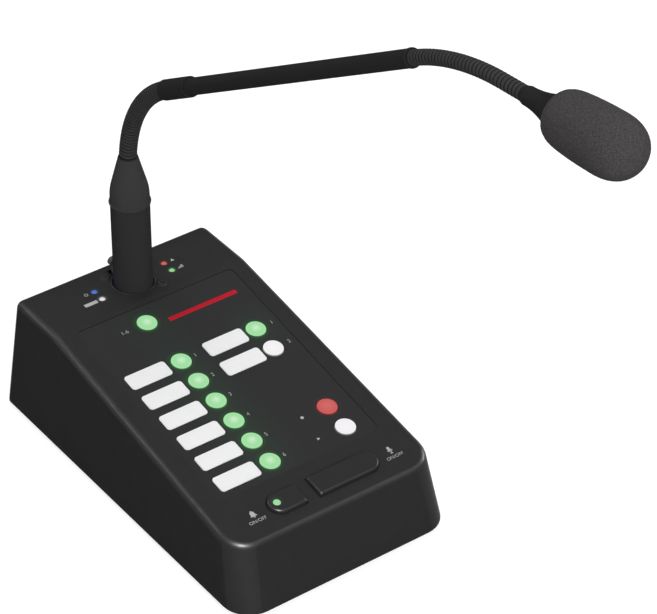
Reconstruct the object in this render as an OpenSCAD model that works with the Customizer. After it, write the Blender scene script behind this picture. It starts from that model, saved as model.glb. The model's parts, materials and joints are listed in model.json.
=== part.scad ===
// Desktop zone paging microphone: a sloping keypad base with a plug-in gooseneck microphone.
// Millimetres. +X is the user's right, -Y faces the user and +Z is up. The origin is the
// centre of the base's footprint, on the desk.

/* [Buttons] */
// Diameter of a round button
button_d = 10.7; // [8:0.1:12]
// Height of a round button's dome above its rim
dome_h = 0.9; // [0.4:0.1:1.6]
// How far a round button's rim stands above the panel
button_rim = 0.4; // [0.2:0.1:1]
// How far a button goes down when it is pressed
press_travel = 0.8; // [0.4:0.1:1]
// Height of the two front keys above the deck
key_proud = 2.2; // [1:0.1:4]
// Rounding of the front keys' upper edges
key_round = 1.4; // [0.4:0.1:1.8]
// Depth of the front keys, front to back
key_h = 12.9; // [9:0.1:16]
// Length of the chime key
chime_l = 18.7; // [14:0.1:24]
// Length of the talk key
talk_l = 38.4; // [24:0.1:42]
// Distance between the two keys' openings
key_between = 6.9; // [3:0.1:9]
// How far the pair of keys sits to the right of the middle
key_shift = 1.7; // [-4:0.1:4]
// Diameter of the light in the chime key
chime_light_d = 4; // [2:0.1:5]
// Distance of that light from the key's round end
chime_light_in = 4.6; // [3.5:0.1:8]

/* [Labels and panel] */
// Width of a label
label_w = 23.8; // [16:0.2:28]
// Height of a label
label_h = 10; // [6:0.2:12]
// Corner radius of a label
label_r = 1.8; // [0.5:0.1:2.5]
// Thickness of a label
label_t = 0.7; // [0.5:0.1:0.9]
// How far a label stands above the panel
label_proud = 0.25; // [0.1:0.05:0.4]
// Distance from one row of buttons to the next
row_pitch = 15.65; // [14:0.05:20]
// Gap between the panel's left edge and the zone labels
label_margin = 3.9; // [2:0.1:6]
// Gap between a zone label and its button
zone_gap = 2.45; // [1.2:0.05:5]
// Gap between the zone buttons and the message labels
column_gap = 10; // [4:0.1:16]
// Gap between a message label and its button
message_gap = 1.45; // [1.1:0.05:4]
// Gap between the message buttons and the panel's right edge
right_margin = 8.8; // [5:0.1:14]
// Distance from the panel's upper edge to the first button
head_margin = 11.7; // [8:0.1:20]
// Distance from the last row of buttons to the panel's lower edge
foot_margin = 9.4; // [8:0.05:16]
// Thickness of the panel
panel_t = 1.2; // [1.1:0.1:1.5]
// How far the panel lies below the deck around it
panel_sink = 0.3; // [0.2:0.05:0.8]
// Corner radius of the panel
panel_r = 3; // [1.5:0.5:6]

/* [Base] */
// Height of the level shelf at the back, above the cover's lower edge
shelf_h = 64.8; // [58:0.1:80]
// Front-to-back length of the level shelf
shelf_l = 37.9; // [36:0.1:46]
// Slope of the button deck
deck_slope = 10; // [6:0.1:12]
// Border between the shelf's fold and the panel
shelf_gap = 3.9; // [2:0.1:8]
// Border between the panel and the front keys' openings
key_gap = 8.9; // [5:0.1:14]
// Border between the keys' openings and the deck's front edge
front_gap = 9.7; // [8:0.1:14]
// Border between the panel and the shelf's side edges
side_border = 11.25; // [10:0.05:16]
// Lean of the side walls
side_draft = 4.7; // [2:0.1:7]
// Lean of the back wall
back_draft = 4.9; // [2:0.1:8]
// Lean of the front wall
front_draft = 12.8; // [6:0.1:16]
// Radius of the two front corners
front_corner_r = 15.4; // [10:0.1:20]
// Rounding of the upper edges
edge_r = 4.4; // [3.8:0.1:6]
// Wall thickness of the cover
wall = 3; // [2.6:0.1:3.5]
// Thickness of the base plate
plate_t = 2.5; // [2.2:0.1:4]
// Height of the feet below the cover
foot_proud = 1.5; // [0.8:0.1:2.5]
// Diameter of a foot
foot_d = 14; // [10:0.5:18]

/* [Socket and lights] */
// Distance from the shelf's fold to the neck's axis
socket_setback = 15.9; // [15.8:0.1:18]
// Diameter of the round opening in the shelf
socket_hole_d = 24; // [23.5:0.1:27]
// Sideways distance of a socket screw from the axis
socket_screw_x = 10.7; // [10.5:0.1:12]
// Front-to-back distance of a socket screw from the axis
socket_screw_y = 10.7; // [10.5:0.1:12]
// Depth of the socket below the shelf
socket_depth = 25; // [22:0.5:32]
// Width of the latch tab
latch_w = 12.2; // [8:0.1:14]
// Height of the latch tab above the shelf
latch_h = 8.5; // [5:0.1:10]
// How far the latch tab goes down
latch_travel = 1.5; // [0.5:0.1:2]
// Sideways distance of the status lights from the axis
lamp_x = 21.5; // [19:0.1:26]
// Front-to-back distance between two status lights
lamp_pitch = 7.5; // [5:0.1:12]
// Diameter of a status light
lamp_d = 3.2; // [2:0.1:4]

/* [Gooseneck] */
// Diameter of the plug's barrel
barrel_d = 20.5; // [19.5:0.1:20.8]
// Height of the plug's barrel above the shelf
barrel_h = 49.8; // [30:0.1:80]
// Height of the neck boot above the barrel
boot_h = 28.1; // [20:0.1:40]
// Length of the neck boot's straight lower part
boot_straight = 8; // [5:0.1:10]
// Diameter of the bead around the boot's lower end
bead_d = 21.8; // [21.2:0.1:24]
// Diameter of the boot's mouth
mouth_d = 10.2; // [10:0.1:12]
// Outer diameter of the lower flexible section
lower_flex_d = 9.3; // [8.8:0.1:9.5]
// Bend radius of the lower flexible section
lower_bend_r = 77; // [50:1:110]
// Lean of the neck where it leaves the boot
boot_lean = 6; // [0:0.5:10]
// Rise of the stiff arm above level
arm_rise = 31; // [10:0.5:50]
// Length of the arm, from the lower to the upper flexible section
arm_l = 224; // [120:1:300]
// Diameter of the arm's tube
tube_d = 8.6; // [8:0.1:8.9]
// Diameter of the sleeve at the arm's lower end
sleeve_d = 10.4; // [10:0.1:11.5]
// Length of that sleeve
sleeve_l = 26; // [22:0.5:50]
// Outer diameter of the upper flexible section
upper_flex_d = 7.2; // [7:0.1:7.8]
// Bend radius of the upper flexible section
upper_bend_r = 135; // [80:1:200]
// Straight length of the upper flexible section after its bend
upper_straight = 14.2; // [8:0.1:40]
// Rise of the microphone head above level
head_rise = 4.5; // [-10:0.1:10]
// Distance from one rib of the flexible sections to the next
rib_pitch = 2.3; // [1.4:0.05:3]
// Depth of the grooves between the ribs
rib_depth = 0.45; // [0.2:0.05:0.5]

/* [Microphone head] */
// Diameter of the microphone's housing
capsule_d = 13; // [10:0.1:15]
// Length of the microphone's housing
capsule_l = 40; // [34:0.5:46]
// Length of the flared boot behind the housing
flare_l = 16; // [12:0.5:20]
// Diameter of the foam windscreen
foam_d = 27.7; // [23:0.1:36]
// Length of the foam windscreen
foam_l = 46.8; // [44:0.1:70]
// How far the foam starts from the housing's rear end
foam_setback = 5.5; // [1:0.5:8]

/* [Clearances] */
// Gap around a button in its hole
button_gap = 0.4; // [0.3:0.05:0.6]
// Gap around a front key in its opening
key_clear = 0.4; // [0.3:0.05:0.8]
// Gap around pieces that are set into a pocket or a hole
seat_gap = 0.15; // [0.05:0.05:0.2]
// Gap around pieces that slide or bend
move_gap = 0.3; // [0.2:0.05:0.4]

/* [Hidden] */
$fn = 48;
form_fn = 32;
rim_fn = 20;
past = 1;

// Places on the panel
zone_count = 6;
message_count = 2;
pocket_w = label_w + 2 * seat_gap;
pocket_h = label_h + 2 * seat_gap;
panel_w = label_margin + 2 * label_w + zone_gap + 2 * button_d + column_gap + message_gap
    + right_margin;
panel_l = head_margin + (zone_count + 1) * row_pitch + foot_margin;
zone_label_x = -panel_w / 2 + label_margin + label_w / 2;
zone_button_x = zone_label_x + label_w / 2 + zone_gap + button_d / 2;
message_label_x = zone_button_x + button_d / 2 + column_gap + label_w / 2;
message_button_x = message_label_x + label_w / 2 + message_gap + button_d / 2;
function row_t(row) = shelf_gap + head_margin + (row + 2) * row_pitch;
all_zones_spot = [zone_button_x, row_t(-2)];
zone_spots = [for (i = [0:zone_count - 1]) [zone_button_x, row_t(i)]];
message_spots = [for (i = [0:message_count - 1]) [message_button_x, row_t(i)]];
record_spot = [message_button_x, row_t(zone_count - 2)];
play_spot = [message_button_x, row_t(zone_count - 1)];
button_spots = concat([all_zones_spot], zone_spots, message_spots, [record_spot, play_spot]);
label_spots = concat([for (i = [0:zone_count - 1]) [zone_label_x, row_t(i)]],
    [for (i = [0:message_count - 1]) [message_label_x, row_t(i)]]);
panel_mid_t = shelf_gap + panel_l / 2;
board_fit = panel_w / 2 - 2;

// Places of the front keys
slot_h = key_h + 2 * key_clear;
chime_slot_l = chime_l + 2 * key_clear;
talk_slot_l = talk_l + 2 * key_clear;
key_pair_l = chime_slot_l + key_between + talk_slot_l;
chime_x = key_shift - key_pair_l / 2 + chime_slot_l / 2;
talk_x = key_shift + key_pair_l / 2 - talk_slot_l / 2;
key_t = shelf_gap + panel_l + key_gap + slot_h / 2;
key_corner_r = 1;
layer_t = 0.1;
key_spots = [[chime_x, key_t], [talk_x, key_t]];

// Outline of the base
deck_l = shelf_gap + panel_l + key_gap + slot_h + front_gap;
front_h = shelf_h - deck_l * sin(deck_slope);
base_w = panel_w + 2 * side_border + 2 * shelf_h * tan(side_draft);
base_d = front_h * tan(front_draft) + deck_l * cos(deck_slope) + shelf_l
    + shelf_h * tan(back_draft);
edge_z = foot_proud;
shelf_z = edge_z + shelf_h;
shelf_half = base_w / 2 - shelf_h * tan(side_draft);
front_half = base_w / 2 - front_h * tan(side_draft);
back_top_y = base_d / 2 - shelf_h * tan(back_draft);
break_y = back_top_y - shelf_l;
edge_land = 1;
function deck_z(y) = shelf_z - (break_y - y) * tan(deck_slope);
function back_wall_y(z) = base_d / 2 - (z - edge_z) * tan(back_draft);

// Screws, posts and boards
screw_d = 3;
screw_head_d = 5.6;
screw_head_h = 1.4;
screw_l = 11;
screw_end = 2;
cross_w = 0.8;
cross_depth = 0.7;
post_d = 8;
post_inset = 12;
post_x = base_w / 2 - post_inset;
post_front_y = -base_d / 2 + post_inset + 4;
post_back_y = base_d / 2 - post_inset - 4;
post_spots = [for (x = [-post_x, post_x]) for (y = [post_front_y, post_back_y]) [x, y]];
foot_recess = 0.8;
foot_spots = [for (x = [-1, 1]) for (y = [post_front_y + foot_d, post_back_y - foot_d])
    [x * (post_x - 1), y]];
plate_z = edge_z;
plate_top = plate_z + plate_t;
plate_edge = wall + move_gap + plate_t * tan(front_draft);
board_t = 1.6;
small_screw_d = 2;
small_head_d = 4;
small_head_h = 1.2;
small_screw_l = 6;
small_post_d = 6;

// Boards under the deck and the shelf
flange_t = 1.2;
light_flange_t = 0.6;
flange_rim = 1.4;
switch_w = 6;
switch_h = 3.4;
plunger_d = 3.4;
plunger_h = 0.8;
flange_w = -wall - move_gap;
board_w = flange_w - flange_t - press_travel - move_gap - plunger_h - switch_h;
key_board_top_t = shelf_gap + 3;
key_board_end_t = key_t + slot_h / 2 - 1;
key_board_l = key_board_end_t - key_board_top_t;
key_post_x = board_fit - small_post_d / 2 - 0.5;
key_post_spots = [for (x = [-key_post_x, key_post_x])
    for (t = [key_board_top_t + small_post_d / 2 + 0.5, key_board_end_t - small_post_d / 2 - 0.5])
    [x, t]];
socket_y = break_y + socket_setback;
socket_shell_d = socket_hole_d - 2 * move_gap;
lamp_proud = 0.5;
lamp_l = 9;
lamp_spots = [for (side = [-1, 1]) for (row = [1, -1]) [side * lamp_x, socket_y + row * lamp_pitch / 2]];
light_board_z = shelf_z + lamp_proud - lamp_l;
light_post_x = lamp_x + lamp_d / 2 + small_post_d;
light_board_half = light_post_x + small_post_d / 2 + 1;
light_board_hole_d = socket_shell_d + 4;
light_board_front = light_board_hole_d / 2 + 4;
light_board_back = lamp_pitch / 2 + small_post_d;

// Main board and its link socket
pillar_h = 8;
main_board_z = plate_top + pillar_h;
main_board_top = main_board_z + board_t;
link_w = 16;
link_h = 13.5;
link_l = 21;
link_mouth_w = 12;
link_mouth_h = 7;
link_mouth_l = 14;
link_floor = 3.2;
link_key_w = 6;
link_key_h = 2;
link_face_y = back_wall_y(main_board_top + link_h);
main_board_d = 58;
main_board_half = 40;
main_board_back = link_face_y - 5;
main_post_spots = [for (x = [-1, 1]) for (y = [main_board_back - 6, main_board_back - main_board_d + 6])
    [x * (main_board_half - 5), y]];

// Socket and plug
socket_rim_sink = 0.2;
socket_lead = 0.7;
socket_lead_l = 2.5;
socket_bore_d = barrel_d + 2 * move_gap;
socket_floor_t = 2;
socket_flange_t = 2.5;
socket_flange_rim = 4.5;
socket_bottom = shelf_z - socket_depth;
socket_top = shelf_z - socket_rim_sink;
socket_head_d = 5.4;
socket_head_h = 0.8;
socket_cross_depth = 0.5;
socket_screw_spots = [[-socket_screw_x, socket_screw_y], [socket_screw_x, -socket_screw_y]];
barrel_bore_d = 15.4;
barrel_neck_d = barrel_bore_d - 2.4;
insert_d = barrel_bore_d - 2 * move_gap - 0.2;
insert_top = shelf_z - 5;
pin_d = 2.4;
pin_ring_r = 4.1;
contact_t = 0.5;
contact_bore_d = pin_d + 2 * move_gap;
contact_d = contact_bore_d + 2 * contact_t;
contact_l = 12;
barrel_bottom = socket_bottom + socket_floor_t + 3;
plug_insert_h = 8;
plug_insert_z = insert_top + move_gap;
pin_head_d = pin_d + 1;
pin_head_h = 0.8;
pin_bottom = insert_top - contact_l + 3;
latch_t = 3;
latch_round = 2.4;
latch_y = socket_y + socket_hole_d / 2 + latch_t / 2 - 0.2;
latch_foot_w = latch_w + 4;
latch_foot_t = 1.5;
latch_foot_z = shelf_z - wall - socket_flange_t - move_gap - latch_foot_t;
latch_stem_w = latch_w - 4;
latch_head_z = shelf_z + latch_h - 2 * latch_round;
spring_d = 2 * (latch_y - socket_y - socket_shell_d / 2 - move_gap);
spring_wire = 0.4;
spring_turns = 5;
spring_steps = 12;
spring_sides = 6;
latch_seat_t = 1.5;
spring_h = latch_travel + 5.5;
spring_rise = spring_h - move_gap - spring_wire;
latch_seat_z = latch_foot_z - spring_h - latch_seat_t;

// Gooseneck
boot_z = shelf_z + barrel_h;
boot_top = boot_z + boot_h;
boot_shoulder_r = 30;
boot_wall = 2;
boot_plug_l = 6;
spigot_l = lower_flex_d;
lower_spigot_d = lower_flex_d - 1.3;
lower_bore_d = lower_flex_d - 3.4;
upper_spigot_l = upper_flex_d;
upper_spigot_d = upper_flex_d - 1.4;
upper_bore_d = upper_flex_d - 3;
arm_heading = 90 - arm_rise;
head_heading = 90 - head_rise;
function heading_dir(h) = [-sin(h), cos(h)];
function bend_point(start, h0, h1, r) = start + r * [cos(h1) - cos(h0), sin(h1) - sin(h0)];
neck_start = [socket_y, boot_top];
lower_flex_l = lower_bend_r * (arm_heading - boot_lean) * PI / 180;
arm_start = bend_point(neck_start, boot_lean, arm_heading, lower_bend_r);
arm_end = arm_start + arm_l * heading_dir(arm_heading);
upper_arc_l = upper_bend_r * (head_heading - arm_heading) * PI / 180;
upper_flex_l = upper_arc_l + upper_straight;
head_bend = bend_point(arm_end, arm_heading, head_heading, upper_bend_r);
// A place on a flexible section: [y, z, heading] at a distance s along it
lower_at = function(s) let(h = boot_lean + s / lower_bend_r * 180 / PI,
        k = s < 0 ? boot_lean : s > lower_flex_l ? arm_heading : h,
        p = s < 0 ? neck_start + s * heading_dir(boot_lean)
            : s > lower_flex_l ? arm_start + (s - lower_flex_l) * heading_dir(arm_heading)
            : bend_point(neck_start, boot_lean, h, lower_bend_r))
    [p[0], p[1], k];
upper_at = function(s) let(h = arm_heading + s / upper_bend_r * 180 / PI,
        k = s < 0 ? arm_heading : s > upper_arc_l ? head_heading : h,
        p = s < 0 ? arm_end + s * heading_dir(arm_heading)
            : s > upper_arc_l ? head_bend + (s - upper_arc_l) * heading_dir(head_heading)
            : bend_point(arm_end, arm_heading, h, upper_bend_r))
    [p[0], p[1], k];
hose_sides = 12;
sleeve_bore_d = lower_spigot_d + 2 * move_gap;
tube_bore_d = upper_spigot_d + 2 * move_gap;
tube_overlap = sleeve_l - spigot_l - 2;
lip_w = 1.6;

// Microphone head
flare_start_d = upper_flex_d + 1.3;
flare_end_d = capsule_d;
foam_bore_d = capsule_d + 2 * seat_gap;
foam_belly = 0.63;
foam_back_share = 0.83;
foam_back_round = 2.5;
foam_nose_power = 2.4;
grille_slots = 10;
grille_slot_w = 1.4;
grille_slot_l = 9;
capsule_wall = 1.2;

// Colours
moulded_black = "#2f2f31";
panel_black = "#333335";
rubber_black = "#1c1c1d";
metal_black = "#262628";
label_white = "#e8e8ea";
lit_green = "#a9e4ae";
lit_white = "#efecee";
lit_red = "#c86464";

// A place on the sloping deck: x, distance t down from the fold, height w above the surface
module deck(spot, w = 0) {
    translate([0, break_y, shelf_z]) rotate([deck_slope, 0, 0]) translate([spot[0], -spot[1], w])
        children();
}

// A place on the gooseneck, with +Z along it
module neck_at(place) {
    translate([0, place[0], place[1]]) rotate([place[2], 0, 0]) children();
}

// A flat plate with rounded corners
module slab(w, l, t, r) {
    linear_extrude(t) {
        square([w - 2 * r, l], center = true);
        square([w, l - 2 * r], center = true);
        for (x = [-1, 1]) for (y = [-1, 1])
            translate([x * (w / 2 - r), y * (l / 2 - r)]) circle(r);
    }
}

// One corner of the base: a disc with a rounded rim
module corner_disc(r, rim) {
    rotate_extrude($fn = form_fn) intersection() {
        translate([r - rim, 0]) circle(rim, $fn = rim_fn);
        translate([0, -rim]) square([r, 2 * rim]);
    }
}

// The base's form, drawn in by an inset
module base_form(inset, low) {
    rim = edge_r - inset;
    front_r = front_corner_r - inset;
    hull() for (side = [-1, 1]) {
        translate([side * (base_w / 2 - front_corner_r), -base_d / 2 + front_corner_r, low])
            cylinder(r = front_r, h = edge_land, $fn = form_fn);
        translate([side * (base_w / 2 - edge_r), base_d / 2 - edge_r, low])
            cylinder(r = rim, h = edge_land, $fn = form_fn);
        deck([side * (front_half - front_corner_r), deck_l - front_corner_r], -edge_r)
            corner_disc(front_r, rim);
        translate([side * (shelf_half - edge_r), break_y + edge_r * tan(deck_slope / 2),
                shelf_z - edge_r]) {
            corner_disc(rim, rim);
            rotate([deck_slope, 0, 0]) corner_disc(rim, rim);
        }
        translate([side * (shelf_half - edge_r), back_top_y - edge_r, shelf_z - edge_r])
            corner_disc(rim, rim);
    }
}

// Outline of the base's lower edge, drawn in by an inset
module base_outline(inset) {
    half_w = base_w / 2 - inset;
    half_d = base_d / 2 - inset;
    front_r = front_corner_r - inset;
    rear_r = max(edge_r - inset, 1);
    translate([-half_w, -half_d + front_r]) square([2 * half_w, 2 * half_d - front_r - rear_r]);
    translate([-half_w + front_r, -half_d]) square([2 * (half_w - front_r), half_d]);
    translate([-half_w + rear_r, 0]) square([2 * (half_w - rear_r), half_d]);
    for (side = [-1, 1]) {
        translate([side * (half_w - front_r), -half_d + front_r]) circle(front_r);
        translate([side * (half_w - rear_r), half_d - rear_r]) circle(rear_r);
    }
}

// Outline of a front key's opening, round at its left end (side -1) or its right end (side 1)
module key_slot(l, h, side) {
    translate([side * (l - h) / 2, 0]) circle(d = h);
    translate([-side * h / 4, 0]) square([l - h / 2, h], center = true);
}

// A front key, round at one end, with a flange under the deck
module key_solid(l, side) {
    layers = [for (a = [0:22.5:90]) [key_round * (1 - cos(a)), key_proud - key_round * (1 - sin(a))]];
    hull() for (layer = concat([[0, flange_w]], layers)) translate([0, 0, layer[1] - layer_t]) {
        translate([side * (l - key_h) / 2, 0])
            cylinder(d = key_h - 2 * layer[0], h = layer_t, $fn = form_fn);
        for (y = [-1, 1])
            translate([-side * (l / 2 - key_corner_r - layer[0]), y * (key_h / 2 - key_corner_r - layer[0])])
                cylinder(r = key_corner_r, h = layer_t, $fn = form_fn);
    }
    translate([0, 0, flange_w - flange_t]) linear_extrude(flange_t)
        key_slot(l + 2 * key_clear + 2 * flange_rim, key_h + 2 * key_clear + 2 * flange_rim, side);
}

// A round button, domed above, with a flange under the deck
module button_solid() {
    rim_top = button_rim - panel_sink;
    dome_r = (pow(button_d / 2, 2) + pow(dome_h, 2)) / (2 * dome_h);
    intersection() {
        translate([0, 0, flange_w]) cylinder(d = button_d, h = rim_top + dome_h - flange_w);
        translate([0, 0, rim_top + dome_h - dome_r]) sphere(dome_r, $fn = 96);
    }
    translate([0, 0, flange_w - flange_t])
        cylinder(d = button_d + 2 * button_gap + 2 * flange_rim, h = flange_t);
}

module button_at(spot, tint) {
    color(tint) deck(spot) button_solid();
}

// The moulded upper housing
module top_cover() {
    color(moulded_black) difference() {
        union() {
            difference() {
                base_form(0, edge_z);
                base_form(wall, edge_z - edge_land);
            }
            intersection() {
                for (p = post_spots) {
                    top = min(shelf_z, deck_z(p[1] - post_d / 2)) - wall / 2;
                    translate([p[0], p[1], plate_top]) cylinder(d = post_d, h = top - plate_top);
                }
                base_form(wall / 2, edge_z);
            }
            for (p = key_post_spots) deck(p, board_w)
                cylinder(d = small_post_d, h = -wall / 2 - board_w);
            for (x = [-1, 1]) translate([x * light_post_x, socket_y, light_board_z])
                cylinder(d = small_post_d, h = shelf_z - wall / 2 - light_board_z);
        }
        deck([0, panel_mid_t], -panel_sink - panel_t)
            slab(panel_w + 2 * seat_gap, panel_l + 2 * seat_gap, panel_sink + panel_t + past,
                panel_r + seat_gap);
        for (p = button_spots) deck(p, -wall - past)
            cylinder(d = button_d + 2 * button_gap, h = wall + 2 * past);
        deck(key_spots[0], -wall - past) linear_extrude(wall + 2 * past)
            key_slot(chime_slot_l, slot_h, -1);
        deck(key_spots[1], -wall - past) linear_extrude(wall + 2 * past)
            key_slot(talk_slot_l, slot_h, 1);
        translate([0, socket_y, shelf_z - wall - past]) {
            cylinder(d = socket_hole_d, h = wall + 2 * past);
            for (p = socket_screw_spots) translate(p)
                cylinder(d = screw_d + 2 * seat_gap, h = wall + 2 * past);
        }
        translate([0, latch_y, shelf_z])
            cube([latch_w + 2 * move_gap, latch_t + 2 * move_gap, 4 * wall], center = true);
        for (p = lamp_spots) translate([p[0], p[1], shelf_z - wall - past])
            cylinder(d = lamp_d + 2 * seat_gap, h = wall + 2 * past);
        for (p = post_spots) translate([p[0], p[1], plate_top - past])
            cylinder(d = screw_d + 2 * seat_gap, h = screw_l + past);
        for (p = key_post_spots) deck(p, board_w - past)
            cylinder(d = small_screw_d + 2 * seat_gap, h = small_screw_l + past - board_t);
        for (x = [-1, 1]) translate([x * light_post_x, socket_y, light_board_z - past])
            cylinder(d = small_screw_d + 2 * seat_gap, h = small_screw_l + past - board_t);
        translate([-link_w / 2 - seat_gap, link_face_y - 2 * wall, main_board_top - seat_gap])
            cube([link_w + 2 * seat_gap, 6 * wall, link_h + 2 * seat_gap]);
    }
}

// The plate that closes the housing from below, with pillars for the main board
module base_plate() {
    color(moulded_black) difference() {
        union() {
            translate([0, 0, plate_z]) linear_extrude(plate_t) base_outline(plate_edge);
            for (p = main_post_spots) translate([p[0], p[1], plate_top])
                cylinder(d = small_post_d, h = pillar_h);
        }
        for (p = post_spots) translate([p[0], p[1], plate_z - past]) {
            cylinder(d = screw_d + 2 * seat_gap, h = plate_t + 2 * past);
            cylinder(d = screw_head_d + 2 * seat_gap, h = screw_head_h + past);
        }
        for (p = foot_spots) translate([p[0], p[1], plate_z - past])
            cylinder(d = foot_d + 2 * seat_gap, h = foot_recess + past);
        for (p = main_post_spots) translate([p[0], p[1], main_board_z - small_screw_l + board_t])
            cylinder(d = small_screw_d + 2 * seat_gap, h = small_screw_l);
    }
}

module rubber_feet() {
    color(rubber_black) for (p = foot_spots) translate([p[0], p[1], 0])
        rotate_extrude() polygon([[0, 0], [foot_d / 2 - foot_proud / 2, 0], [foot_d / 2, foot_proud / 2],
            [foot_d / 2, foot_proud + foot_recess], [0, foot_proud + foot_recess]]);
}

// The cross cut into a screw's head, from below
module cross_recess(head_d, depth) {
    long = head_d / 1.5;
    translate([-long / 2, -cross_w / 2, -past]) cube([long, cross_w, past + depth]);
    translate([-cross_w / 2, -long / 2, -past]) cube([cross_w, long, past + depth]);
}

module base_screws() {
    color("silver") for (p = post_spots) translate([p[0], p[1], plate_z]) difference() {
        union() {
            cylinder(d = screw_head_d, h = screw_head_h);
            cylinder(d = screw_d, h = screw_l + plate_t - screw_end);
        }
        cross_recess(screw_head_d, cross_depth);
    }
}

// The inset panel with its button holes and label pockets
module overlay_panel() {
    color(panel_black) difference() {
        deck([0, panel_mid_t], -panel_sink - panel_t) slab(panel_w, panel_l, panel_t, panel_r);
        for (p = button_spots) deck(p, -panel_sink - panel_t - past)
            cylinder(d = button_d + 2 * button_gap, h = panel_t + 2 * past);
        for (p = label_spots) deck(p, -panel_sink - label_t + label_proud)
            slab(pocket_w, pocket_h, label_t + past, label_r + seat_gap);
    }
}

module label_plate(i) {
    color(label_white) deck(label_spots[i], -panel_sink - label_t + label_proud)
        slab(label_w, label_h, label_t, label_r);
}

module chime_key() {
    color(moulded_black) difference() {
        deck(key_spots[0]) key_solid(chime_l, -1);
        chime_light_bore();
    }
}

module chime_light_bore() {
    deck([chime_x - chime_l / 2 + chime_light_in, key_t], flange_w - flange_t - past)
        cylinder(d = chime_light_d, h = key_proud - flange_w + flange_t + 2 * past);
}

module chime_light() {
    color(lit_green) deck([chime_x - chime_l / 2 + chime_light_in, key_t], flange_w - flange_t)
        union() {
            cylinder(d = chime_light_d - 2 * seat_gap, h = key_proud - flange_w + flange_t);
            translate([0, 0, -light_flange_t]) cylinder(d = chime_light_d + 2, h = light_flange_t);
        }
}

module talk_key() {
    color(moulded_black) deck(key_spots[1]) key_solid(talk_l, 1);
}

// The board under the deck, with one switch and one lamp under each button
module key_board() {
    color("darkgreen") difference() {
        deck([-board_fit, key_board_end_t], board_w - board_t) cube([2 * board_fit, key_board_l, board_t]);
        for (p = key_post_spots) deck(p, board_w - board_t - past)
            cylinder(d = small_screw_d + 2 * seat_gap, h = board_t + 2 * past);
    }
}

module key_switches() {
    color("dimgray") for (p = concat(button_spots, key_spots)) deck(p, board_w) {
        translate([-switch_w / 2, -switch_w / 2, 0]) cube([switch_w, switch_w, switch_h]);
        translate([0, 0, switch_h - past]) cylinder(d = plunger_d, h = plunger_h + past);
    }
}

module key_lamps() {
    lamp_size = [1.6, 3, 1.2];
    color("ivory") for (p = button_spots) deck(p, board_w)
        translate([switch_w / 2 + seat_gap, -lamp_size[1] / 2, 0]) cube(lamp_size);
}

// A status light that stands on the light board and shows through the shelf
module lamp(i, tint) {
    color(tint) translate([lamp_spots[i][0], lamp_spots[i][1], light_board_z]) {
        cylinder(d = lamp_d, h = lamp_l - lamp_d / 2);
        translate([0, 0, lamp_l - lamp_d / 2]) sphere(d = lamp_d);
        cylinder(d = lamp_d + 1, h = 1);
    }
}

module light_board() {
    color("darkgreen") translate([0, socket_y, light_board_z - board_t]) difference() {
        translate([-light_board_half, -light_board_front, 0])
            cube([2 * light_board_half, light_board_front + light_board_back, board_t]);
        translate([0, 0, -past]) cylinder(d = light_board_hole_d, h = board_t + 2 * past);
        for (x = [-1, 1]) translate([x * light_post_x, 0, -past])
            cylinder(d = small_screw_d + 2 * seat_gap, h = board_t + 2 * past);
    }
}

// The socket that the gooseneck plugs into, fixed under the shelf
module socket_shell() {
    flange_x = 2 * (socket_screw_x + socket_flange_rim);
    flange_y = 2 * (socket_screw_y + socket_flange_rim);
    color("silver") translate([0, socket_y, 0]) difference() {
        union() {
            translate([0, 0, socket_bottom]) cylinder(d = socket_shell_d, h = socket_top - socket_bottom);
            translate([0, 0, shelf_z - wall - socket_flange_t])
                slab(flange_x, flange_y, socket_flange_t, socket_flange_rim / 2);
            translate([-latch_w / 2, socket_shell_d / 2 - 1, latch_seat_z])
                cube([latch_w, latch_y - socket_y - socket_shell_d / 2 + spring_d / 2 + 1, latch_seat_t]);
        }
        translate([0, 0, socket_bottom + socket_floor_t])
            cylinder(d = socket_bore_d, h = socket_depth);
        translate([0, 0, socket_top - socket_lead_l])
            cylinder(d1 = socket_bore_d, d2 = socket_bore_d + 2 * socket_lead, h = socket_lead_l);
        for (p = socket_screw_spots) translate([p[0], p[1], shelf_z - wall - socket_flange_t - past])
            cylinder(d = screw_d + 2 * seat_gap, h = socket_flange_t + 2 * past);
        translate([0, latch_y - socket_y, shelf_z - wall - socket_flange_t / 2])
            cube([latch_w + 2 * move_gap, latch_t + 2 * move_gap, socket_flange_t + 2 * past],
                center = true);
    }
}

module at_pins() {
    for (a = [90, 210, 330]) translate([pin_ring_r * cos(a), socket_y + pin_ring_r * sin(a), 0]) children();
}

module socket_insert() {
    color("dimgray") difference() {
        translate([0, socket_y, socket_bottom + socket_floor_t])
            cylinder(d = insert_d, h = insert_top - socket_bottom - socket_floor_t);
        at_pins() translate([0, 0, insert_top - contact_l])
            cylinder(d = contact_d + seat_gap, h = contact_l + past);
    }
}

module socket_contacts() {
    color("gold") at_pins() translate([0, 0, insert_top - contact_l]) difference() {
        cylinder(d = contact_d, h = contact_l - 1);
        translate([0, 0, contact_t]) cylinder(d = contact_bore_d, h = contact_l);
    }
}

// The tab behind the plug that frees it, on a spring
module socket_latch() {
    color("lightgray") translate([0, latch_y, 0]) {
        translate([0, latch_t / 2, 0]) rotate([90, 0, 0]) linear_extrude(latch_t) {
            translate([-latch_stem_w / 2, latch_foot_z])
                square([latch_stem_w, latch_head_z + latch_round - latch_foot_z]);
            translate([-latch_w / 2 + latch_round, latch_head_z])
                square([latch_w - 2 * latch_round, 2 * latch_round]);
            for (side = [-1, 1])
                translate([side * (latch_w / 2 - latch_round), latch_head_z + latch_round])
                    circle(latch_round);
        }
        translate([-latch_foot_w / 2, -latch_t / 2, latch_foot_z])
            cube([latch_foot_w, latch_t, latch_foot_t]);
    }
}

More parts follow.
